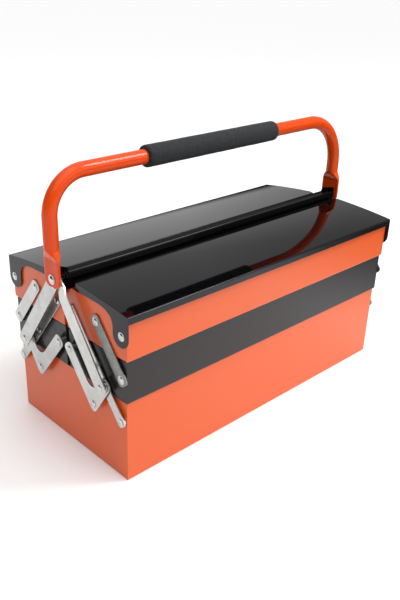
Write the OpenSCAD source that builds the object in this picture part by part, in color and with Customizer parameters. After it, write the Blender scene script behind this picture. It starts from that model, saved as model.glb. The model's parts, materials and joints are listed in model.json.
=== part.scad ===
// Cantilever tool box: a deep base tray, two middle trays and two upper trays
// that fold outwards on riveted steel links, two lids and a swinging handle.
// The box rests on the plane z = 0. Its length runs along X, the front is at -Y.

/* [Trays] */
// Outside length of the base tray
base_len = 470; // [420:1:520]
// Outside width of the base tray
base_w = 212; // [208:1:218]
// Height of the base tray
base_h = 103.5; // [100:0.5:106]
// Height of each folding tray
tray_h = 53; // [50:0.5:55]
// Thickness of the tray walls
wall = 1.2; // [1:0.1:1.4]
// Gap between the floor of a tray and the rim below it
tray_gap = 0.5; // [0.4:0.1:0.8]

/* [Linkage] */
// Outward travel of one tray on its links
shift = 86; // [80:1:88]
// Depth of the link rivets below the rims
pivot_drop = 25; // [24:0.5:26]
// Width of the long arms
long_w = 12.5; // [11:0.5:14]
// Width of the short links
short_w = 16; // [14:0.5:17]
// Width of the legs of the V plates
vee_w = 16.5; // [15:0.5:17]
// Width of the handle arms
arm_w = 18.5; // [16:0.5:19]
// Diameter of the link rivets
rivet_d = 5; // [4.5:0.1:5.6]
// Diameter of the heads of the link rivets
head_d = 10.5; // [9:0.5:11]
// Running clearance on the radius between a rivet and its link
run_fit = 0.05; // [0.03:0.01:0.1]

/* [Lids] */
// Slope of a lid at its outer edge, in degrees
lid_slope = 8; // [7:0.1:8.5]
// How much flatter a lid is at its inner edge, in degrees
lid_crown = 5.5; // [4:0.1:6]
// Thickness of a lid
lid_t = 1; // [0.8:0.1:1.2]
// Depth of the long outer flange of a lid
lid_flange = 8.2; // [7:0.1:9.5]

/* [Rail and handle] */
// Width of the centre rail
rail_w = 28.5; // [26:0.5:29]
// Slope of the top of the rail, in degrees
rail_slope = 15.5; // [11:0.5:16]
// Diameter of the handle tube
tube_d = 17.2; // [16:0.1:18]
// Height of the centre line of the handle's top above the floor
handle_z = 336.5; // [325:0.5:350]
// Radius of the near bend of the handle tube
bend_r = 45; // [38:1:55]
// Radius of the far bend of the handle tube
bend_far = 65; // [45:1:66]
// Diameter of the foam grip
grip_d = 26; // [24:0.5:29]
// Near end of the foam grip, measured from the middle of the box
grip_near = 120; // [100:1:140]
// Far end of the foam grip, measured from the middle of the box
grip_far = 104.5; // [95:0.5:130]
// Diameter of the hole for a padlock in the rail
lock_d = 6; // [4:0.5:6.5]

/* [Hidden] */
$fn = 64;
ORANGE = [0.90, 0.30, 0.13];
BLACK = [0.07, 0.07, 0.075];
STEEL = [0.76, 0.78, 0.78];
FOAM = [0.16, 0.16, 0.17];

pitch = tray_h + tray_gap;          // rise from one pair of pivots to the next
hy = base_w / 2;                    // half the width of the base
// Half widths and half lengths grow a little from tray to tray.
mid_y = hy + 2.2;
up_y = hy + 4.6;
lid_y = hy + 9.2;
in_y = 3;                           // inner walls of the folding trays
xb = base_len / 2;
xm = xb + 1.4;
xu = xb + 2.6;

// Pivots as [distance from the middle plane, height]; the front ones mirror them.
pB = [hy - 6, base_h - pivot_drop];
v = [-shift / 2, pitch];
pM = pB + v;
pU = pM + v;
paL = [hy - 3.5, base_h + pitch - pivot_drop + 2.4];
paU = paL + v;
pR2 = [pB[0] - 45.7, pB[1] + 3.2];
pR1 = pR2 + v;
pR3 = pR2 + [22.2, 34.3];
pL = [hy - 2, base_h + 2 * pitch - pivot_drop + 1.9];
pH = [0, base_h + 2 * pitch + 10.7];

// Layers outside the end walls, measured along X
xa0 = xb + 2.9;  xa1 = xa0 + 1.8;    // long arms and short links
xe0 = xb + 3.8;  xe1 = xe0 + lid_t;  // end flanges of the lids
xv0 = xb + 6.1;  xv1 = xv0 + 1.6;    // V plates
xf0 = xb + 10.2; xf1 = xf0 + 2;      // upper eyes of the front handle arms
xr0 = xb + 12.6; xr1 = xr0 + 2;      // handle arms
xp0 = xb + 5.3;  xp1 = xp0 + 1.2;    // end plates of the rail
xt0 = xb + 15.2; xt1 = xt0 + 3.2;    // flattened ends of the handle tube
xc = xb + 16.3;                      // centre line of the handle legs
rb = rivet_d / 2 + run_fit;          // bores of the links
pin_r = 3;                           // pins that carry the handle

zm0 = base_h + tray_gap;
zu0 = zm0 + pitch;
z_rim = zu0 + tray_h;
lid_z = z_rim + 2.2;                 // height of the outer edge of a lid

// ---- shapes that repeat ----

// Both ends of the box
module ends() { children(); mirror([1, 0, 0]) children(); }
// Front half from rear half
module front() { mirror([0, 1, 0]) children(); }
module left() { mirror([1, 0, 0]) children(); }

// Round bar along X between x0 and x1 at the point p = [y, z]
module xcyl(x0, x1, p, r) translate([x0, p[0], p[1]]) rotate([0, 90, 0]) cylinder(h = x1 - x0, r = r);
// Washer or bush along X
module xtube(x0, x1, p, r, ri) difference() { xcyl(x0, x1, p, r); xcyl(x0 - 1, x1 + 1, p, ri); }

// Points of an arc of radius r about c, from angle a to angle b
function arc(c, r, a, b, n = 18) = [for (i = [0:n]) c + r * [cos(a + (b - a) * i / n), sin(a + (b - a) * i / n)]];

// Flat plate of the outline pts in [y, z], in the layer x0 to x1
module plate(x0, x1, pts) translate([x0, 0, 0]) rotate([90, 0, 90]) linear_extrude(x1 - x0) polygon(pts);

function dir(a) = [cos(a), sin(a)];

// Points of the end of a bar of width w that ends beyond c in the direction a: a blunt
// end with two rounded corners
function cap(c, w, a, r = 5.5) = let (e = w / 2 - 0.4 - r, h = w / 2 - r) concat(
    arc(c + e * dir(a) + h * dir(a - 90), r, a - 90, a, 8),
    arc(c + e * dir(a) + h * dir(a + 90), r, a, a + 90, 8));

// Flat bar with rounded ends, from p to q, in the layer x0 to x1
module bar(x0, x1, p, q, w, r = 5.5) {
    a = atan2(q[1] - p[1], q[0] - p[0]);
    plate(x0, x1, concat(cap(q, w, a, r), cap(p, w, a + 180, r)));
}

// Domed head of radius r and height h that stands on the plane X = x0
module dome(x0, p, r, h) {
    R = (r * r + h * h) / (2 * h);
    translate([x0, p[0], p[1]]) rotate([0, 90, 0])
        intersection() {
            translate([0, 0, h - R]) sphere(r = R, $fn = 96);
            cylinder(h = h + 1, r = r);
        }
}

// Rivet through a wall: a flat head inside at xi, a shank, a domed head from xo outwards
module rivet(xi, xo, p, rs = rivet_d / 2, rh = head_d / 2, h = 0.95, hi = 1.2) {
    xcyl(xi - hi, xi, p, rh - 0.9);
    xcyl(xi - hi, xo, p, rs);
    xcyl(xo, xo + 0.15, p, rh);
    dome(xo + 0.15, p, rh, h - 0.15);
}

// Open sheet-steel tray from y0 to y1 with rims at z0 + h; the wall at y0 is inner_h high.
module tray(xh, y0, y1, z0, h, inner_h, holes) {
    difference() {
        translate([-xh, y0, z0]) cube([2 * xh, y1 - y0, h]);
        translate([-xh + wall, y0 + wall, z0 + wall]) cube([2 * (xh - wall), y1 - y0 - 2 * wall, h]);
        // the inner wall is lower, and the end walls slope down to it
        if (inner_h < h)
            translate([-xh - 1, 0, 0]) rotate([90, 0, 90]) linear_extrude(2 * xh + 2)
                polygon([[y0 - 1, z0 + inner_h], [y0 + wall, z0 + inner_h],
                         [y0 + wall + (h - inner_h), z0 + h], [y0 + wall + (h - inner_h), z0 + h + 1],
                         [y0 - 1, z0 + h + 1]]);
        for (p = holes) ends() xcyl(xh - wall - 1, xh + 1, p, rivet_d / 2 + 0.02);
    }
}

// ---- base ----

module base_tray() {
    color(ORANGE) tray(xb, -hy, hy, 0, base_h, base_h,
        [pB, [-pB[0], pB[1]], pR2, [-pR2[0], pR2[1]]]);
}

module base_rivets() {
    color(STEEL) for (s = [-1, 1]) ends() {
        rivet(xb - wall, xa1 + 0.15, [s * pB[0], pB[1]]);
        rivet(xb - wall, xv1 + 0.15, [s * pR2[0], pR2[1]], h = 1.3);
    }
}

module base_spacers() {
    color(STEEL) for (s = [-1, 1]) ends() {
        xtube(xb, xa0 - 0.2, [s * pB[0], pB[1]], 5, rivet_d / 2 + 0.02);
        xtube(xb, xv0 - 0.2, [s * pR2[0], pR2[1]], 5, rivet_d / 2 + 0.02);
    }
}

// ---- one half: middle tray, upper tray, lid and links, drawn at the rear ----

module middle_tray() color(BLACK) tray(xm, in_y, mid_y, zm0, tray_h, tray_h, [pM, paL, pR1]);

module middle_rivets() color(STEEL) ends() {
    rivet(xm - wall, xa1 + 0.15, pM);
    rivet(xm - wall, xa1 + 0.15, paL, h = 1.3);
    rivet(xm - wall, xv1 + 0.15, pR1, h = 1.3);
}

module middle_spacers() color(STEEL) ends() {
    xtube(xm, xa0 - 0.2, pM, 5, rivet_d / 2 + 0.02);
    xtube(xm, xa0 - 0.2, paL, 5, rivet_d / 2 + 0.02);
    xtube(xm, xv0 - 0.2, pR1, 5, rivet_d / 2 + 0.02);
}

module upper_tray() color(ORANGE) tray(xu, in_y, up_y, zu0, tray_h, tray_h - 8.5, [pU, paU, pL]);

module upper_rivets() color(STEEL) ends() {
    rivet(xu - wall, xa1 + 0.15, pU);
    rivet(xu - wall, xa1 + 0.15, paU, h = 1.3);
}

module lid_rivets() color(STEEL) ends() rivet(xu - wall, xe1 + 0.15, pL, h = 1.3);
module lid_washers() color(STEEL) ends() xtube(xu, xe0 - 0.2, pL, 5, rivet_d / 2 + 0.02);

lid_in = 18;                        // inner edge of a lid
// Height of the slightly crowned top face of a lid at the distance y from the middle plane
lid_k = (tan(lid_slope) - tan(lid_slope - lid_crown)) / (2 * (lid_y - lid_in));
function lid_top(y) = lid_z + (lid_y - y) * tan(lid_slope) - lid_k * pow(lid_y - y, 2);
// Points of the top face from y = a to y = b, lowered by d
function lid_line(a, b, d, n = 12) = [for (i = [0:n]) [a + (b - a) * i / n, lid_top(a + (b - a) * i / n) - d]];
// Points of a cubic curve between p0 and p3
function curve(p0, p1, p2, p3, n = 14) = [for (i = [0:n]) let (t = i / n, u = 1 - t)
    u * u * u * p0 + 3 * u * u * t * p1 + 3 * u * t * t * p2 + t * t * t * p3];

module lid() {
    ear_r = 12.8;
    ear = [lid_y - ear_r, pL[1] - 0.8];
    root = [66, lid_top(66) - 7];
    color(BLACK) difference() {
        union() {
            // top sheet, long outer flange and short inner flange, in one bent section
            translate([-xe1, 0, 0]) rotate([90, 0, 90]) linear_extrude(2 * xe1)
                polygon(concat(
                    [[lid_y, lid_z - lid_flange], [lid_y, lid_z - 1.2], [lid_y - 0.5, lid_z - 0.4]],
                    lid_line(lid_y - 1.4, lid_in + 1, 0),
                    [[lid_in + 0.3, lid_top(lid_in) - 0.4], [lid_in, lid_top(lid_in) - 1.2],
                     [lid_in, lid_top(lid_in) - 6], [lid_in + lid_t, lid_top(lid_in) - 6]],
                    lid_line(lid_in + lid_t, lid_y - 1.6, lid_t),
                    [[lid_y - lid_t, lid_z - lid_t - 1], [lid_y - lid_t, lid_z - lid_flange]]));
            // end flanges, each with an ear for the hinge rivet
            ends() plate(xe0, xe1, concat(
                [[lid_in, lid_top(lid_in) - 9], [lid_in, lid_top(lid_in) - 1]],
                lid_line(lid_in + 1, lid_y - 1.4, 0.3),
                [[lid_y, lid_z - 1.4]],
                arc(ear, ear_r, 0, -180),
                curve(ear + [-ear_r, 6], [ear[0] - ear_r, root[1] - 6], root + [14, -2], root)));
        }
        ends() xcyl(xe0 - 1, xe1 + 1, pL, rb);
        // the inner corners are cut off at a slant
        ends() translate([0, 0, lid_z - 20]) linear_extrude(60)
            polygon([[xe1 - 4.2, lid_in - 3], [xe1 - 4.2, lid_in + 0.6], [xe1 + 0.01, lid_in + 7.5],
                     [xe1 + 4, lid_in + 7.5], [xe1 + 4, lid_in - 3]]);
    }
}

module long_arm() color(STEEL) difference() {
    bar(xa0, xa1, pB, pU, long_w, 4.6);
    for (p = [pB, pM, pU]) xcyl(xa0 - 1, xa1 + 1, p, rb);
}

module short_link() color(STEEL) difference() {
    bar(xa0, xa1, paL, paU, short_w);
    for (p = [paL, paU]) xcyl(xa0 - 1, xa1 + 1, p, rb);
}

// V plate: one leg leans in to the middle tray, the other leans out to the handle arm.
// A round fillet fills the crotch.
module v_plate() {
    w = vee_w / 2;
    d1 = (pR1 - pR2) / norm(pR1 - pR2);
    d2 = (pR3 - pR2) / norm(pR3 - pR2);
    b = (d1 + d2) / norm(d1 + d2);
    half = acos(d1 * d2) / 2;
    crotch = pR2 + b * w / sin(half);
    rf = 12;
    ro = 6;
    c = crotch + b * rf / sin(half);
    a1 = atan2(d1[1], d1[0]);
    a2 = atan2(d2[1], d2[0]);
    color(STEEL) difference() {
        plate(xv0, xv1, concat(
            cap(pR3, vee_w, a2),
            arc(c, rf, a2 - 90, a1 - 270),
            cap(pR1, vee_w, a1),
            arc(pR2 - b * (w - ro) / sin(half), ro, a1 + 90, a2 + 270)));
        for (p = [pR1, pR2, pR3]) xcyl(xv0 - 1, xv1 + 1, p, rb);
    }
}

// Handle arm from the V plate up to the pin of the handle. If its upper eye lies in a layer
// further in, which starts at xe, a joggle leads to it, and the arm is narrower there.
module handle_arm(xe) color(STEEL) difference() {
    L = norm(pH - pR3);
    u = (pH - pR3) / L;
    n = [u[1], -u[0]];
    a = atan2(u[1], u[0]);
    t = xr1 - xr0;
    w1 = xe < xr0 ? 13.5 : arm_w;
    intersection() {
        plate(xe - 1, xr1 + 1, concat(
            [pR3 + u * (L - 38) + n * arm_w / 2, pR3 + u * (L - 13) + n * w1 / 2],
            cap(pH, w1, a, w1 / 2 - 1.2),
            [pR3 + u * (L - 13) - n * w1 / 2, pR3 + u * (L - 38) - n * arm_w / 2],
            cap(pR3, arm_w, a + 180)));
        translate([0, pH[0], pH[1]]) rotate([a + 180, 0, 0])
            linear_extrude(arm_w + 2, center = true)
                polygon(xe < xr0 ? [[xe, -20], [xe, 14.5], [xr0, 22.5], [xr0, 200], [xr1, 200],
                                    [xr1, 21.5], [xe + t, 13.5], [xe + t, -20]]
                                 : [[xr0, -20], [xr0, 200], [xr1, 200], [xr1, -20]]);
    }
    xcyl(xr0 - 1, xr1 + 1, pR3, rivet_d / 2 + 0.02);
    xcyl(xe - 1, xe + t + 1, pH, pin_r + run_fit);
}

// Rivet at the lower end of a handle arm, and the washer under the arm
module arm_rivet(x1, xw) color(STEEL) ends() {
    xcyl(xw, x1, pR3, rivet_d / 2);
    xcyl(x1, x1 + 0.3, pR3, head_d / 2);
    dome(x1 + 0.3, pR3, head_d / 2, 1.1);
}
module arm_washer(x0, xw) color(STEEL) ends() xtube(xw, x0, pR3, 5.5, rivet_d / 2 + 0.02);

module front_middle_tray() front() middle_tray();
module front_middle_rivets() front() middle_rivets();
module front_middle_spacers() front() middle_spacers();
module front_upper_tray() front() upper_tray();
module front_upper_rivets() front() upper_rivets();
module front_lid() front() lid();
module front_lid_rivets() front() lid_rivets();
module front_lid_washers() front() lid_washers();
module front_left_long_arm() front() left() long_arm();
module front_right_long_arm() front() long_arm();
module front_left_short_link() front() left() short_link();
module front_right_short_link() front() short_link();
module front_left_v_plate() front() left() v_plate();
module front_right_v_plate() front() v_plate();
module front_left_handle_arm() front() left() handle_arm(xf0);
module front_right_handle_arm() front() handle_arm(xf0);
module front_arm_rivets() front() arm_rivet(xr1, xv1 + 0.5);
module front_arm_washers() front() arm_washer(xr0, xv1 + 0.5);

module rear_middle_tray() middle_tray();
module rear_middle_rivets() middle_rivets();
module rear_middle_spacers() middle_spacers();
module rear_upper_tray() upper_tray();
module rear_upper_rivets() upper_rivets();
module rear_lid() lid();
module rear_lid_rivets() lid_rivets();
module rear_lid_washers() lid_washers();
module rear_left_long_arm() left() long_arm();
module rear_right_long_arm() long_arm();
module rear_left_short_link() left() short_link();
module rear_right_short_link() short_link();
module rear_left_v_plate() left() v_plate();
module rear_right_v_plate() v_plate();
module rear_left_handle_arm() left() handle_arm(xr0);
module rear_right_handle_arm() handle_arm(xr0);
module rear_arm_rivets() arm_rivet(xr1, xv1 + 0.5);
module rear_arm_washers() arm_washer(xr0, xv1 + 0.5);

// ---- centre rail and handle ----

// Top of the rail: the front edge is high, and the top slopes down to the rear. The end
// plates stand above it.
rail_f = -rail_w / 2;
rail_r = rail_w / 2 - 0.3;
rail_z = pH[1] + 10.4;              // height of the front edge
plate_z = pH[1] + 15.8;             // height of the end plates
function rail_top(y) = rail_z - (y - rail_f) * tan(rail_slope);
rail_bot = z_rim + 8;
module centre_rail() {
    t = wall;
    color(BLACK) difference() {
        union() {
            // folded channel, open below, with rounded upper edges
            translate([-xp1, 0, 0]) rotate([90, 0, 90]) linear_extrude(2 * xp1)
                polygon([[rail_f, rail_bot], [rail_f, rail_z - 3.6], [rail_f + 0.4, rail_z - 2],
                         [rail_f + 1.4, rail_z - 0.9], [rail_f + 3, rail_top(rail_f + 3)],
                         [rail_r - 3, rail_top(rail_r - 3)], [rail_r - 1.2, rail_top(rail_r) - 0.3],
                         [rail_r - 0.2, rail_top(rail_r) - 1.4], [rail_r, rail_top(rail_r) - 2.6],
                         [rail_r, rail_bot],
                         [rail_r - t, rail_bot], [rail_r - t, rail_top(rail_r) - 2.9],
                         [rail_r - 2.4, rail_top(rail_r - 2) - t - 0.3], [rail_r - 3.6, rail_top(rail_r - 3.6) - t],
                         [rail_f + 3.4, rail_top(rail_f + 3.4) - t], [rail_f + 2.2, rail_z - 2.4],
                         [rail_f + t, rail_z - 4.2], [rail_f + t, rail_bot]]);
            // end plates that hold the pins of the handle
            ends() difference() {
                plate(xp0, xp1, [[rail_f, pH[1] - 3], [rail_f, plate_z - 3], [rail_f + 0.6, plate_z - 1.4],
                    [rail_f + 2, plate_z - 0.6], [4, plate_z - 4.4], [5.2, plate_z - 5.2], [6, plate_z - 6.4],
                    [8.4, rail_top(8.4)],
                    [rail_r - 3, rail_top(rail_r - 3)], [rail_r - 1.2, rail_top(rail_r) - 0.3],
                    [rail_r - 0.2, rail_top(rail_r) - 1.4], [rail_r, rail_top(rail_r) - 2.6],
                    [rail_r, pH[1] - 3], [6, pH[1] - 12], [-6, pH[1] - 12]]);
                xcyl(xp0 - 1, xp1 + 1, pH, pin_r + 0.02);
            }
        }
        // hole for a padlock near the middle of the front web
        translate([2.7, rail_f - 1, rail_bot + 5.4]) rotate([-90, 0, 0]) cylinder(h = wall + 2, d = lock_d);
    }
}

// Pins on the end plates; each one carries both handle arms and the handle
module handle_pins() color(STEEL) ends() {
    xcyl(xp0 - 1.2, xp0, pH, 4.2);
    xcyl(xp0 - 1.2, xt1 + 0.2, pH, pin_r);
    xcyl(xt1 + 0.2, xt1 + 0.6, pH, 6);
    dome(xt1 + 0.6, pH, 6, 1.5);
}
module handle_bushes() color(STEEL) ends() xtube(xp1, xf0 - 0.2, pH, 5.5, pin_r + 0.02);

// Bent tube with flattened lower ends
module handle_tube() {
    r = tube_d / 2;
    tab_hw = 14;                    // half the width of a flattened end
    z0 = pH[1] - 9.3;
    z1 = pH[1] + 22;                // top of the flat part
    z2 = pH[1] + 36;                // the tube is round from here up
    color(ORANGE) {
        rotate([0, 90, 0]) translate([-handle_z, 0, -(xc - bend_r)])
            cylinder(h = 2 * xc - bend_r - bend_far, r = r);
        // near end, then far end
        for (e = [[-1, bend_r], [1, bend_far]]) mirror([e[0] < 0 ? 1 : 0, 0, 0]) {
            b = e[1];
            translate([xc - b, 0, handle_z - b]) rotate([90, 0, 0])
                rotate_extrude(angle = 90, $fn = 96) translate([b, 0]) circle(r = r);
            translate([xc, 0, z2 - 0.01]) cylinder(h = handle_z - b - z2 + 0.01, r = r);
            // from round to flat
            hull() {
                translate([xc, 0, z2 - 0.2]) cylinder(h = 0.2, r = r, $fn = 40);
                translate([xt0, -tab_hw, z1]) cube([xt1 - xt0, 2 * tab_hw, 0.2]);
            }
            difference() {
                union() {
                    translate([xt0, -tab_hw, z0 + 9]) cube([xt1 - xt0, 2 * tab_hw, z1 - z0 - 9 + 0.1]);
                    translate([xt0, -tab_hw + 9, z0]) cube([xt1 - xt0, 2 * (tab_hw - 9), 10]);
                    for (s = [-1, 1]) xcyl(xt0, xt1, [s * (tab_hw - 9), z0 + 9], 9);
                }
                xcyl(xt0 - 1, xt1 + 1, pH, pin_r + run_fit);
            }
        }
    }
}

// Foam sleeve with bevelled ends on the top of the handle
module foam_grip() {
    r = grip_d / 2;
    ri = tube_d / 2 + 0.05;
    L = grip_near + grip_far;
    color(FOAM) translate([-grip_near, 0, handle_z]) rotate([0, 90, 0]) rotate_extrude($fn = 96)
        polygon([[ri, 0], [r - 2.6, 0], [r - 0.9, 0.8], [r, 2.8], [r, L - 2.8], [r - 0.9, L - 0.8],
                 [r - 2.6, L], [ri, L]]);
}

base_tray();
base_rivets();
base_spacers();
front_middle_tray();
front_middle_rivets();
front_middle_spacers();
front_upper_tray();
front_upper_rivets();
front_lid();
front_lid_rivets();
front_lid_washers();
front_left_long_arm();
front_right_long_arm();
front_left_short_link();
front_right_short_link();
front_left_v_plate();
front_right_v_plate();
front_left_handle_arm();
front_right_handle_arm();
front_arm_rivets();
front_arm_washers();
rear_middle_tray();
rear_middle_rivets();
rear_middle_spacers();
rear_upper_tray();
rear_upper_rivets();
rear_lid();
rear_lid_rivets();
rear_lid_washers();
rear_left_long_arm();
rear_right_long_arm();
rear_left_short_link();
rear_right_short_link();
rear_left_v_plate();
rear_right_v_plate();
rear_left_handle_arm();
rear_right_handle_arm();
rear_arm_rivets();
rear_arm_washers();
centre_rail();
handle_pins();
handle_bushes();
handle_tube();
foam_grip();
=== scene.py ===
import json
import math

import bmesh
import bpy
from mathutils import Matrix, Vector


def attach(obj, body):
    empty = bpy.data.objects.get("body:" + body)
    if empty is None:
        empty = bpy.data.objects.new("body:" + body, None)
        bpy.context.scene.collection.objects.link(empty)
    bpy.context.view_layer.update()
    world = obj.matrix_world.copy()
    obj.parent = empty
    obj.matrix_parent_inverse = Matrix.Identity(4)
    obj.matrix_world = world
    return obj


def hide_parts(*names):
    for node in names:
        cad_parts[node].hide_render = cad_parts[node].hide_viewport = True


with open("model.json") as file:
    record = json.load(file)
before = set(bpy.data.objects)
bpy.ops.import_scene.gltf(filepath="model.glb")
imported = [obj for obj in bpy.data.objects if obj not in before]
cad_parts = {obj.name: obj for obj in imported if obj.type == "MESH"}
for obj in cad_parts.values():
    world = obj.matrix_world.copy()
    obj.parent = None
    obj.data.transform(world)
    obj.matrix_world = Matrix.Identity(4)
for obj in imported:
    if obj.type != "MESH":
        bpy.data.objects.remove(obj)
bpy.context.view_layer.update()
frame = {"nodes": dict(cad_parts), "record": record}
NODES = frame["nodes"]
MM = 0.001


# ------------------------------------------------------------------ materials

def new_mat(name):
    m = bpy.data.materials.new(name)
    m.use_nodes = True
    nt = m.node_tree
    bsdf = nt.nodes["Principled BSDF"]
    return m, nt, bsdf


def coords(nt, scale=(1, 1, 1)):
    tc = nt.nodes.new("ShaderNodeTexCoord")
    mp = nt.nodes.new("ShaderNodeMapping")
    mp.inputs["Scale"].default_value = scale
    nt.links.new(tc.outputs["Object"], mp.inputs["Vector"])
    return mp.outputs["Vector"]


def noise(nt, vec, scale, detail=3.0, rough=0.5, dist=0.0):
    n = nt.nodes.new("ShaderNodeTexNoise")
    n.inputs["Scale"].default_value = scale
    n.inputs["Detail"].default_value = detail
    n.inputs["Roughness"].default_value = rough
    n.inputs["Distortion"].default_value = dist
    nt.links.new(vec, n.inputs["Vector"])
    return n.outputs["Fac"]


def ramp(nt, fac, stops):
    r = nt.nodes.new("ShaderNodeValToRGB")
    els = r.color_ramp.elements
    els[0].position, els[0].color = stops[0][0], stops[0][1]
    els[1].position, els[1].color = stops[-1][0], stops[-1][1]
    for p, c in stops[1:-1]:
        e = els.new(p)
        e.color = c
    nt.links.new(fac, r.inputs["Fac"])
    return r.outputs["Color"]


def remap(nt, fac, a, b, lo=0.0, hi=1.0):
    r = nt.nodes.new("ShaderNodeMapRange")
    r.inputs["From Min"].default_value = lo
    r.inputs["From Max"].default_value = hi
    r.inputs["To Min"].default_value = a
    r.inputs["To Max"].default_value = b
    nt.links.new(fac, r.inputs["Value"])
    return r.outputs["Result"]


def bump(nt, bsdf, height, strength, distance, normal=None):
    b = nt.nodes.new("ShaderNodeBump")
    b.inputs["Strength"].default_value = strength
    b.inputs["Distance"].default_value = distance
    nt.links.new(height, b.inputs["Height"])
    if normal is not None:
        nt.links.new(normal, b.inputs["Normal"])
    nt.links.new(b.outputs["Normal"], bsdf.inputs["Normal"])
    return b.outputs["Normal"]


def rgb(r, g, b):
    return (r, g, b, 1.0)


def paint(name, base, dark, rough=(0.16, 0.24), peel=0.05, coat=0.5, spec=0.5, tint=(1, 1, 1)):
    """Baked powder paint: a slight mottling of the colour, and a fine orange peel."""
    m, nt, bsdf = new_mat(name)
    v = coords(nt)
    broad = noise(nt, v, 4.0, 1.0)
    mix = nt.nodes.new("ShaderNodeMix")
    mix.data_type = "RGBA"
    mix.inputs[6].default_value = rgb(*dark)
    mix.inputs[7].default_value = rgb(*base)
    nt.links.new(broad, mix.inputs["Factor"])
    nt.links.new(mix.outputs[2], bsdf.inputs["Base Color"])
    bsdf.inputs["Roughness"].default_value = rough[0]
    if rough[1] > rough[0]:
        r = noise(nt, v, 6.0, 1.0)
        nt.links.new(remap(nt, r, rough[0], rough[1], 0.0, 1.0), bsdf.inputs["Roughness"])
    if peel:
        fine = noise(nt, v, 520.0, 2.0, 0.4)
        bump(nt, bsdf, fine, peel, 0.0004)
    bsdf.inputs["Specular IOR Level"].default_value = spec
    bsdf.inputs["Specular Tint"].default_value = rgb(*tint)
    bsdf.inputs["Coat Weight"].default_value = coat
    bsdf.inputs["Coat Roughness"].default_value = 0.12
    return m


def zinc(name, base, dark, rough=(0.24, 0.36), along=(0, 0.6, 0.8), lines=1.0):
    """Rolled, zinc-plated strip: cloudy colour and fine drawing lines along the bar."""
    m, nt, bsdf = new_mat(name)
    v = coords(nt)
    cloud = noise(nt, v, 60.0, 4.0, 0.6, 0.4)
    col = ramp(nt, cloud, [(0.28, rgb(*dark)), (0.62, rgb(*base))])
    nt.links.new(col, bsdf.inputs["Base Color"])
    bsdf.inputs["Metallic"].default_value = 1.0
    # drawing lines: noise stretched along the bar's own direction
    tc = nt.nodes.new("ShaderNodeTexCoord")
    mp = nt.nodes.new("ShaderNodeMapping")
    a = math.atan2(along[2], along[1])
    mp.inputs["Rotation"].default_value = (-a, 0, 0)
    mp.inputs["Scale"].default_value = (40, 6, 260)
    nt.links.new(tc.outputs["Object"], mp.inputs["Vector"])
    ln = noise(nt, mp.outputs["Vector"], 6.0, 3.0, 0.6)
    nt.links.new(remap(nt, ln, rough[0], rough[1], 0.3, 0.7), bsdf.inputs["Roughness"])
    bump(nt, bsdf, ln, 0.12 * lines, 0.0003)
    return m


M_ORANGE = paint("orange_powder_paint", (0.76, 0.108, 0.015), (0.745, 0.106, 0.0145), (0.28, 0.28), 0.0, 0.25, 0.36)
M_ORANGE_TUBE = paint("orange_tube_paint", (0.76, 0.068, 0.004), (0.70, 0.061, 0.003), (0.14, 0.20), 0.012, 0.0, 0.26)
M_BLACK = paint("black_satin_paint", (0.0185, 0.0160, 0.0170), (0.0175, 0.0152, 0.0161), (0.24, 0.24), 0.0, 0.0, 0.36, (1.0, 0.98, 0.99))
M_GLOSS = paint("black_gloss_paint", (0.0020, 0.0019, 0.0023), (0.0015, 0.0014, 0.0017), (0.03, 0.05), 0.0, 0.0, 0.40, (0.94, 0.94, 1.0))
M_RAIL = paint("black_rail_paint", (0.0016, 0.0015, 0.0017), (0.0012, 0.0011, 0.0013), (0.05, 0.08), 0.0, 0.0, 0.10)
M_ZINC_F = zinc("zinc_strip_front", (0.66, 0.67, 0.65), (0.54, 0.55, 0.535), along=(0, 0.63, 0.78))
# the rear strips are a darker copy of the same zinc: painted shade
M_ZINC_REAR_SHADED = zinc("zinc_strip_rear_painted_shade", (0.56, 0.57, 0.56), (0.44, 0.45, 0.44), along=(0, -0.63, 0.78))
# the front short links take a much darker copy of the same zinc: painted shade for the dim spot behind the arms
M_ZINC_SHADED = zinc("zinc_strip_painted_shade", (0.29, 0.29, 0.28), (0.19, 0.19, 0.185), along=(0, 0.63, 0.78))
M_RIVET = zinc("rivet_steel", (0.66, 0.655, 0.64), (0.50, 0.495, 0.485), (0.06, 0.11), lines=0.05)


def foam(name):
    m, nt, bsdf = new_mat(name)
    v = coords(nt)
    pores = nt.nodes.new("ShaderNodeTexVoronoi")
    pores.inputs["Scale"].default_value = 900.0
    nt.links.new(v, pores.inputs["Vector"])
    n = noise(nt, v, 240.0, 4.0, 0.65)
    col = ramp(nt, n, [(0.3, rgb(0.009, 0.010, 0.011)), (0.7, rgb(0.021, 0.023, 0.025))])
    nt.links.new(col, bsdf.inputs["Base Color"])
    bsdf.inputs["Roughness"].default_value = 0.78
    bsdf.inputs["Specular IOR Level"].default_value = 0.25
    bsdf.inputs["Sheen Weight"].default_value = 0.10
    bsdf.inputs["Sheen Roughness"].default_value = 0.5
    b = nt.nodes.new("ShaderNodeBump")
    b.inputs["Strength"].default_value = 0.35
    b.inputs["Distance"].default_value = 0.0004
    nt.links.new(pores.outputs["Distance"], b.inputs["Height"])
    bump(nt, bsdf, n, 0.35, 0.0006, b.outputs["Normal"])
    return m


M_FOAM = foam("foam_sleeve")


# ------------------------------------------------------------------ helpers

def finish_mesh(name, bm, mat, body, nodes, smooth_deg=40):
    me = bpy.data.meshes.new(name)
    bm.normal_update()
    bm.to_mesh(me)
    bm.free()
    me.materials.append(mat)
    o = bpy.data.objects.new(name, me)
    bpy.context.scene.collection.objects.link(o)
    for p in me.polygons:
        p.use_smooth = True
    sharp_by_angle(me, smooth_deg)
    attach(o, body)
    if nodes:
        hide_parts(*nodes)
    return o


def sharp_by_angle(me, deg):
    bm = bmesh.new()
    bm.from_mesh(me)
    lim = math.radians(deg)
    for e in bm.edges:
        e.smooth = not (len(e.link_faces) == 2 and e.calc_face_angle(0.0) > lim)
    bm.to_mesh(me)
    bm.free()


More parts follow.
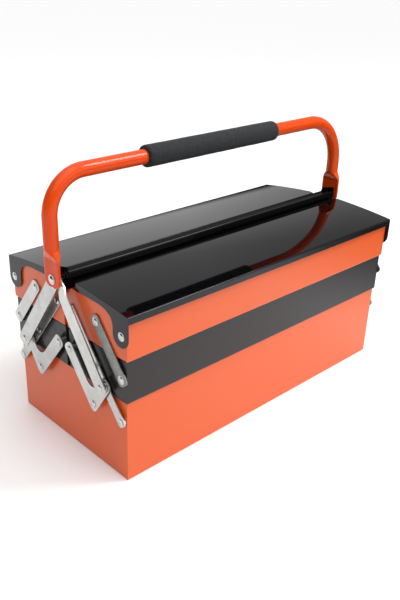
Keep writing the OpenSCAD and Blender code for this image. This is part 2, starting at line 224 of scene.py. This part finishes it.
def apply_mods(o):
    dg = bpy.context.evaluated_depsgraph_get()
    me = bpy.data.meshes.new_from_object(o.evaluated_get(dg), depsgraph=dg)
    old = o.data
    o.modifiers.clear()
    o.data = me
    bpy.data.meshes.remove(old)


def bevelled(node, mat, width=0.4, segs=2, angle=35, body=None, flat=0.6, bend=0.0):
    """A copy of a pressed or folded piece with its edges rounded over; bend is the radius
    of the fold around the bottom of a tray."""
    src = NODES[node]
    bm = bmesh.new()
    bm.from_mesh(src.data)
    bmesh.ops.remove_doubles(bm, verts=bm.verts[:], dist=2e-6)
    bmesh.ops.dissolve_limit(bm, angle_limit=math.radians(flat), verts=bm.verts[:], edges=bm.edges[:])
    if bend:
        z0 = min(v.co.z for v in bm.verts)
        low = [e for e in bm.edges if all(v.co.z < z0 + 1e-5 for v in e.verts)]
        bmesh.ops.bevel(bm, geom=low, offset=bend * MM, offset_type="OFFSET", segments=5, profile=0.5,
                        affect="EDGES", clamp_overlap=True)
    me = bpy.data.meshes.new(node + "_skin")
    bm.to_mesh(me)
    bm.free()
    o = bpy.data.objects.new(node + "_skin", me)
    bpy.context.scene.collection.objects.link(o)
    me.materials.clear()
    me.materials.append(mat)
    mod = o.modifiers.new("edges", "BEVEL")
    mod.width = width * MM
    mod.segments = segs
    mod.limit_method = "ANGLE"
    mod.angle_limit = math.radians(angle)
    mod.use_clamp_overlap = True
    mod.miter_outer = "MITER_SHARP"
    apply_mods(o)
    for p in o.data.polygons:
        p.use_smooth = True
        p.material_index = 0
    wn = o.modifiers.new("normals", "WEIGHTED_NORMAL")
    wn.mode = "FACE_AREA"
    wn.weight = 60
    wn.keep_sharp = False
    apply_mods(o)
    o.data.name = node + "_skin"
    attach(o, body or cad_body(node))
    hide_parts(node)
    return o


BODY_OF = {n: b for b, ns in frame["record"]["behaviour"]["bodies"].items() for n in ns}


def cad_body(node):
    return BODY_OF[node]


# ------------------------------------------------------------------ sheet metal and links

for n in ("base_tray", "front_upper_tray", "rear_upper_tray"):
    bevelled(n, M_ORANGE, 0.5, 2, bend=0.8 if n == "base_tray" else 2.2)
for n in ("front_middle_tray", "rear_middle_tray"):
    bevelled(n, M_BLACK, 0.5, 2, bend=2.2)
for n in ("front_lid", "rear_lid"):
    bevelled(n, M_GLOSS, 0.3, 3, angle=20, flat=0.05)
bevelled("centre_rail", M_RAIL, 0.3, 2)

for h, m in (("front", M_ZINC_F), ("rear", M_ZINC_REAR_SHADED)):
    for s in ("left", "right"):
        for k in ("long_arm", "short_link", "v_plate", "handle_arm"):
            n = f"{h}_{s}_{k}"
            # front short links get the darker zinc copy, which is painted shade
            bevelled(n, M_ZINC_SHADED if h == "front" and k == "short_link" else m, 0.3, 2)

for n in NODES:
    if any(w in n for w in ("spacers", "washers", "bushes")):
        bevelled(n, M_RIVET, 0.2, 2)


def islands(me):
    """Vertex groups of a mesh that hang together, after coincident vertices are joined."""
    bm = bmesh.new()
    bm.from_mesh(me)
    bmesh.ops.remove_doubles(bm, verts=bm.verts[:], dist=2e-6)
    seen, out = set(), []
    for v in bm.verts:
        if v.index in seen:
            continue
        stack, part = [v], []
        seen.add(v.index)
        while stack:
            q = stack.pop()
            part.append(q.co.copy())
            for e in q.link_edges:
                r = e.other_vert(q)
                if r.index not in seen:
                    seen.add(r.index)
                    stack.append(r)
        out.append(part)
    bm.free()
    return out


def rivet_heads(node):
    """Rivets turned on a lathe: a crimped head inside, a shank, a button head outside."""
    bm = bmesh.new()
    seg = 40
    for part in islands(NODES[node].data):
        sg = 1 if sum(p.x for p in part) > 0 else -1
        xs = [abs(p.x) / MM for p in part]
        x0, x1 = min(xs), max(xs)
        far = [p for p in part if abs(p.x) / MM > x1 - 1.7]
        cy = 0.5 * (min(p.y for p in part) + max(p.y for p in part)) / MM
        cz = 0.5 * (min(p.z for p in part) + max(p.z for p in part)) / MM
        rad = lambda p: math.hypot(p.y / MM - cy, p.z / MM - cz)
        R = max(rad(p) for p in far)
        # foot of the outer head: the widest ring that lies nearest to the wall
        foot = min(abs(p.x) / MM for p in part if rad(p) > R - 0.05 and abs(p.x) / MM > x1 - 2.6)
        inner = [p for p in part if abs(p.x) / MM < x0 + 0.02]
        ri = max(rad(p) for p in inner)
        shank = 2.5 if ri > 2.7 or "arm" in node else 3.0
        h = x1 - foot
        prof = [(x0 + 0.25, 0.0), (x0, 0.9), (x0, ri - 0.5), (x0 + 0.12, ri - 0.15), (x0 + 0.4, ri)] if ri > 2.7 else [(x0, 0.0), (x0, ri - 0.3), (x0 + 0.3, ri)]
        if ri > 2.7:
            prof += [(x0 + 1.0, ri), (x0 + 1.2, ri - 0.2), (x0 + 1.2, shank)]
        # the head is a button that stands in a dimple with a low, swaged ring around it
        rd = 0.70 * R
        ring_h = min(0.22, 0.25 * h)
        prof += [(foot, shank), (foot, R - 0.25), (foot + 0.6 * ring_h, R - 0.1), (foot + ring_h, R - 0.45),
                 (foot + ring_h, R - 0.75), (foot + 0.04, rd + 0.25), (foot + 0.04, rd + 0.02)]
        for i in range(0, 10):
            q = 1.0 - i / 9.0
            prof.append((foot + 0.1 + (h - 0.1) * (1.0 - 0.82 * q ** 2.2), rd * q if i < 9 else 0.0))
        rings = []
        for x, r in prof:
            if r < 1e-6:
                rings.append([bm.verts.new((sg * x * MM, cy * MM, cz * MM))])
            else:
                rings.append([bm.verts.new((sg * x * MM, (cy + r * math.cos(2 * math.pi * j / seg)) * MM,
                                            (cz + r * math.sin(2 * math.pi * j / seg)) * MM)) for j in range(seg)])
        for a, b in zip(rings, rings[1:]):
            for j in range(seg):
                k = (j + 1) % seg
                q = [a[j % len(a)], a[k % len(a)], b[k % len(b)], b[j % len(b)]]
                u = []
                for w_ in q:
                    if w_ not in u:
                        u.append(w_)
                bm.faces.new(u)
    bmesh.ops.recalc_face_normals(bm, faces=bm.faces[:])
    return finish_mesh(node + "_skin", bm, M_RIVET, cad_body(node), [node], 38)


for n in list(NODES):
    if "rivets" in n or "pins" in n:
        rivet_heads(n)


# ------------------------------------------------------------------ handle tube

def handle():
    r = 8.6
    xc, xt = 251.3, 251.8
    top, br, bf = 336.5, 45.0, 65.0      # height of the bar, near and far bend
    pH = 221.2
    z_bot, z_flat, z_round = pH - 9.3, pH + 22.0, pH + 37.0
    seg = 56

    def section(t, squeeze, hw, ht):
        """Section point at the angle t: squeeze 0 is the round tube, 1 the flat end."""
        c, s = math.cos(t), math.sin(t)
        p = 2.0 + 10.0 * squeeze ** 1.5
        k = (abs(c) ** p + abs(s) ** p) ** (-1.0 / p)
        a, b = hw * c * k, ht * s * k
        # a flattened tube is a little hollow between its thicker edges
        return a, b * (1.0 - 0.34 * squeeze ** 3 * (1.0 - (a / hw) ** 2) ** 2)

    # stations along one leg, from the bottom up: (z, centre x, half width, half thickness, squeeze)
    rows = []
    R = 9.0
    for i in range(10):
        a = math.pi / 2 * i / 9.0
        z = z_bot + R - R * math.cos(a)
        hw = 14.0 - R + R * math.sin(a)
        rows.append((z, xt, hw, 1.6, 1.0))
    for i in range(1, 8):
        rows.append((z_bot + R + (z_flat - z_bot - R) * i / 7.0, xt, 14.0, 1.6, 1.0))
    n = 18
    for i in range(1, n + 1):
        u = i / n
        w = u * u * (3 - 2 * u)
        hw = 14.0 + (r - 14.0) * w
        ht = 1.6 + (r - 1.6) * w
        rows.append((z_flat + (z_round - z_flat) * u, xt + (xc - xt) * w, hw, ht, 1.0 - w))
    def leg_rows(b):
        return rows + [(z_round + (top - b - z_round) * i / 8.0, xc, r, r, 0.0) for i in range(1, 9)]

    bm = bmesh.new()
    rings = []

    def ring(pts):
        rings.append([bm.verts.new(Vector(p) * MM) for p in pts])

    def leg(sign, order):
        for z, x, hw, ht, q in order:
            pts = []
            for j in range(seg):
                a, b = section(2 * math.pi * j / seg, q, hw, ht)
                pts.append((sign * x + b * 1.0, a, z))
            ring(pts)

    def bend(sign, angles):
        cx, cz = sign * (xc - br), top - br
        for a in angles:
            # a = 0 at the leg, 90 degrees at the top bar
            ux, uz = math.cos(a) * sign, math.sin(a)
            pts = []
            for j in range(seg):
                t = 2 * math.pi * j / seg
                y = r * math.cos(t)
                o = r * math.sin(t) * sign
                pts.append((cx + ux * (br + o), y, cz + uz * (br + o)))
            ring(pts)

    # left leg upwards
    leg(-1, leg_rows(br))
    m = 20
    bend(-1, [math.pi / 2 * i / m for i in range(1, m + 1)])
    # bar
    for i in range(1, 40):
        x = -(xc - br) + (2 * xc - br - bf) * i / 40.0
        pts = []
        for j in range(seg):
            t = 2 * math.pi * j / seg
            # the section turns with the bend, so its outside is on top
            pts.append((x, r * math.cos(t), top - r * math.sin(t)))
        ring(pts)
    # right bend and leg downwards: the section's outside comes from +sin
    for i in range(m, 0, -1):
        a = math.pi / 2 * i / m
        cx, cz = xc - bf, top - bf
        ux, uz = math.cos(a), math.sin(a)
        pts = []
        for j in range(seg):
            t = 2 * math.pi * j / seg
            o = -r * math.sin(t)
            pts.append((cx + ux * (bf + o), r * math.cos(t), cz + uz * (bf + o)))
        ring(pts)
    for z, x, hw, ht, q in reversed(leg_rows(bf)):
        pts = []
        for j in range(seg):
            a, b = section(2 * math.pi * j / seg, q, hw, ht)
            pts.append((x - b, a, z))
        ring(pts)

    for a, b in zip(rings, rings[1:]):
        for j in range(seg):
            k = (j + 1) % seg
            bm.faces.new((a[j], a[k], b[k], b[j]))
    bm.faces.new(list(reversed(rings[0])))
    bm.faces.new(rings[-1])
    bmesh.ops.recalc_face_normals(bm, faces=bm.faces[:])
    return finish_mesh("handle_tube_skin", bm, M_ORANGE_TUBE, "handle", ["handle_tube"], 50)


handle()


def grip():
    """Foam sleeve: bevelled ends and a shallow waviness."""
    r, ri = 13.0, 8.7
    x0, x1, z = -120.0, 104.5, 336.5
    prof = [(0.0, ri), (0.0, r - 3.0), (0.25, r - 2.2), (0.9, r - 1.1), (1.9, r - 0.35), (3.4, r)]
    L = x1 - x0
    pts = [(x, q) for x, q in prof]
    n = 90
    for i in range(1, n):
        x = 3.4 + (L - 6.8) * i / n
        pts.append((x, r))
    pts += [(L - x, q) for x, q in reversed(prof)]
    bm = bmesh.new()
    seg = 72
    rings = []
    for k, (x, q) in enumerate(pts):
        rg = []
        for j in range(seg):
            t = 2 * math.pi * j / seg
            w = 0.0
            if q > r - 0.01:
                w = -0.10 + 0.06 * math.sin(x * 0.11 + 1.3 * math.sin(t)) + 0.04 * math.sin(x * 0.31 + 2 * t)
            rg.append(bm.verts.new(((x0 + x) * MM, (q + w) * math.sin(t) * MM, (z + (q + w) * math.cos(t)) * MM)))
        rings.append(rg)
    for a, b in zip(rings, rings[1:]):
        for j in range(seg):
            k = (j + 1) % seg
            bm.faces.new((a[j], b[j], b[k], a[k]))
    a, b = rings[-1], rings[0]
    for j in range(seg):
        k = (j + 1) % seg
        bm.faces.new((a[j], b[j], b[k], a[k]))
    bmesh.ops.recalc_face_normals(bm, faces=bm.faces[:])
    o = finish_mesh("foam_grip_skin", bm, M_FOAM, "handle", ["foam_grip"], 60)
    return o


grip()


# ------------------------------------------------------------------ stage, light, camera

def floor():
    bm = bmesh.new()
    bmesh.ops.create_grid(bm, x_segments=1, y_segments=1, size=40.0)
    me = bpy.data.meshes.new("floor")
    bm.to_mesh(me)
    bm.free()
    m, nt, bsdf = new_mat("floor_white")
    bsdf.inputs["Base Color"].default_value = (0.93, 0.93, 0.93, 1)
    bsdf.inputs["Roughness"].default_value = 0.9
    bsdf.inputs["Specular IOR Level"].default_value = 0.1
    # what the box sees of the floor: painted shade, its colour fading to dark towards the right to stand in for a dim
    # room
    tc = nt.nodes.new("ShaderNodeTexCoord")
    sp = nt.nodes.new("ShaderNodeSeparateXYZ")
    nt.links.new(tc.outputs["Object"], sp.inputs["Vector"])
    painted_floor_shade = ramp(nt, remap(nt, sp.outputs["X"], 0.0, 1.0, -1.0, 1.0), [(0.0, rgb(0.93, 0.93, 0.93)), (0.66, rgb(0.93, 0.93, 0.93)),
                                                                     (0.72, rgb(0.62, 0.62, 0.62)), (0.78, rgb(0.26, 0.26, 0.26)),
                                                                     (0.86, rgb(0.08, 0.08, 0.08)), (1.0, rgb(0.06, 0.06, 0.06))])
    room = nt.nodes.new("ShaderNodeBsdfDiffuse")
    nt.links.new(painted_floor_shade, room.inputs["Color"])
    lp = nt.nodes.new("ShaderNodeLightPath")
    mx = nt.nodes.new("ShaderNodeMixShader")
    nt.links.new(lp.outputs["Is Camera Ray"], mx.inputs["Fac"])
    nt.links.new(room.outputs["BSDF"], mx.inputs[1])
    nt.links.new(bsdf.outputs["BSDF"], mx.inputs[2])
    out = [n for n in nt.nodes if n.type == "OUTPUT_MATERIAL"][0]
    nt.links.new(mx.outputs["Shader"], out.inputs["Surface"])
    me.materials.append(m)
    o = bpy.data.objects.new("floor", me)
    o.location.z = -0.0003
    bpy.context.scene.collection.objects.link(o)


floor()

def studio():
    """Soft studio dome: pale backdrop low down, a quieter band above it, bright ceiling."""
    w = bpy.data.worlds.new("studio")
    bpy.context.scene.world = w
    w.use_nodes = True
    nt = w.node_tree
    bg = nt.nodes["Background"]
    tc = nt.nodes.new("ShaderNodeTexCoord")
    sp = nt.nodes.new("ShaderNodeSeparateXYZ")
    nt.links.new(tc.outputs["Generated"], sp.inputs["Vector"])
    g = lambda v: rgb(v / 1.6, v / 1.6, v / 1.6)
    up = ramp(nt, sp.outputs["Z"], [(0.0, g(0.03)), (0.105, g(0.03)), (0.135, g(1.02)), (0.342, g(1.08)), (0.450, g(0.62)),
                                    (0.600, g(0.56)), (0.780, g(1.15)), (1.0, g(1.2))])
    # the left side of the room is dark, and the far right is dimmer than the middle
    x = sp.outputs["X"]
    side = ramp(nt, remap(nt, x, 0.0, 1.0, -1.0, 1.0), [(0.0, rgb(0.08, 0.08, 0.08)), (0.30, rgb(0.10, 0.10, 0.10)),
                                                       (0.52, rgb(1, 1, 1)), (0.83, rgb(0.92, 0.92, 0.92)), (0.90, rgb(0.50, 0.50, 0.50)),
                                                       (1.0, rgb(0.42, 0.42, 0.42))])
    mul = nt.nodes.new("ShaderNodeMix")
    mul.data_type = "RGBA"
    mul.blend_type = "MULTIPLY"
    mul.inputs["Factor"].default_value = 1.0
    nt.links.new(up, mul.inputs[6])
    nt.links.new(side, mul.inputs[7])
    nt.links.new(mul.outputs[2], bg.inputs["Color"])
    bg.inputs["Strength"].default_value = 1.6
    # the backdrop itself is plain white
    white = nt.nodes.new("ShaderNodeBackground")
    white.inputs["Color"].default_value = (1, 1, 1, 1)
    white.inputs["Strength"].default_value = 1.1
    lp = nt.nodes.new("ShaderNodeLightPath")
    mx = nt.nodes.new("ShaderNodeMixShader")
    nt.links.new(lp.outputs["Is Camera Ray"], mx.inputs["Fac"])
    nt.links.new(bg.outputs["Background"], mx.inputs[1])
    nt.links.new(white.outputs["Background"], mx.inputs[2])
    nt.links.new(mx.outputs["Shader"], nt.nodes["World Output"].inputs["Surface"])


studio()


def area(name, direction, dist, size, level, target=(0, 0, 0.15), color=(1, 1, 1)):
    """Soft box; level is what it adds to a white card that faces it, as a share of full white."""
    l = bpy.data.lights.new(name, "AREA")
    l.shape = "RECTANGLE"
    l.size, l.size_y = size
    # a white card of albedo 1 at the distance dist has the radiance level
    l.energy = level * math.pi * math.pi * dist * dist
    l.color = color
    o = bpy.data.objects.new(name, l)
    o.location = Vector(target) + Vector(direction).normalized() * dist
    d = Vector(target) - o.location
    o.rotation_euler = d.to_track_quat("-Z", "Y").to_euler()
    bpy.context.scene.collection.objects.link(o)
    return o


def sun(name, direction, level, angle):
    l = bpy.data.lights.new(name, "SUN")
    l.energy = level * math.pi
    l.angle = math.radians(angle)
    o = bpy.data.objects.new(name, l)
    o.rotation_euler = Vector(direction).to_track_quat("Z", "Y").to_euler()
    bpy.context.scene.collection.objects.link(o)
    return o


area("key_right", (0.52, -0.42, 0.74), 2.2, (0.6, 0.8), 0.50)
area("front_fill", (0.45, -1.0, 0.34), 2.6, (1.6, 0.9), 0.07)
sun("top", (-0.3, -0.3, 1.0), 0.52, 70)

bpy.context.scene.view_settings.view_transform = "Standard"


def camera():
    az, el, roll = map(math.radians, (-42.15, 25.57, 0.69))
    back = Vector((math.sin(az) * math.cos(el), -math.cos(az) * math.cos(el), math.sin(el)))
    fwd = -back
    right = fwd.cross(Vector((0, 0, 1))).normalized()
    u = right.cross(fwd)
    r2 = right * math.cos(roll) + u * math.sin(roll)
    u2 = -right * math.sin(roll) + u * math.cos(roll)
    cam = bpy.data.cameras.new("camera")
    cam.sensor_fit = "VERTICAL"
    cam.sensor_height = 36.0
    cam.lens = 706.38 / 600.0 * 36.0
    cam.shift_x = (200 - 163.62) / 600.0
    cam.shift_y = (303.62 - 300) / 600.0
    cam.clip_start = 0.05
    cam.clip_end = 50
    o = bpy.data.objects.new("camera", cam)
    M = Matrix((
        (r2.x, u2.x, -fwd.x, -0.63841),
        (r2.y, u2.y, -fwd.y, -0.60887),
        (r2.z, u2.z, -fwd.z, 0.53328),
        (0, 0, 0, 1)))
    o.matrix_world = M
    bpy.context.scene.collection.objects.link(o)
    bpy.context.scene.camera = o


camera()
